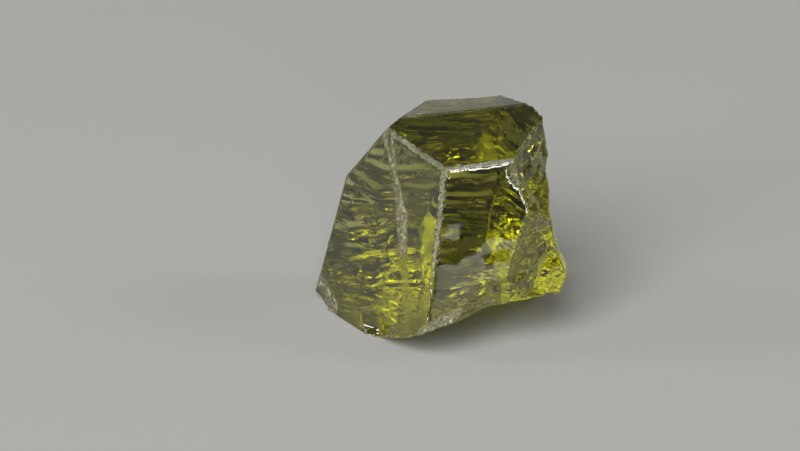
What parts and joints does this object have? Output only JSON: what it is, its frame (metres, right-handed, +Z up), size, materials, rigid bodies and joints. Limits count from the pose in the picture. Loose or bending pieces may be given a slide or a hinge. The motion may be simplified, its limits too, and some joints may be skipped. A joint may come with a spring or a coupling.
{
  "type": "raw garnet crystal",
  "caption": "Raw transparent yellow-green garnet with worn crystal faces above and conchoidal fractures on its right, back and underside, lying on a flat broken base.",
  "frame": {"origin": "middle of the stone's bounding box at the level of its flat base", "axes": "+X to the stone's right and its longest extent, +Y to its back, +Z up; the front crystal face looks out to -Y"},
  "size_m": [0.0082, 0.0065, 0.0075],
  "materials": {
    "garnet": "clear yellow-green crystal with frosted ridges and glassy conchoidal fractures"
  },
  "bodies": {
    "root": {"demantoid_crystal": "garnet"}
  },
  "joints": []
}
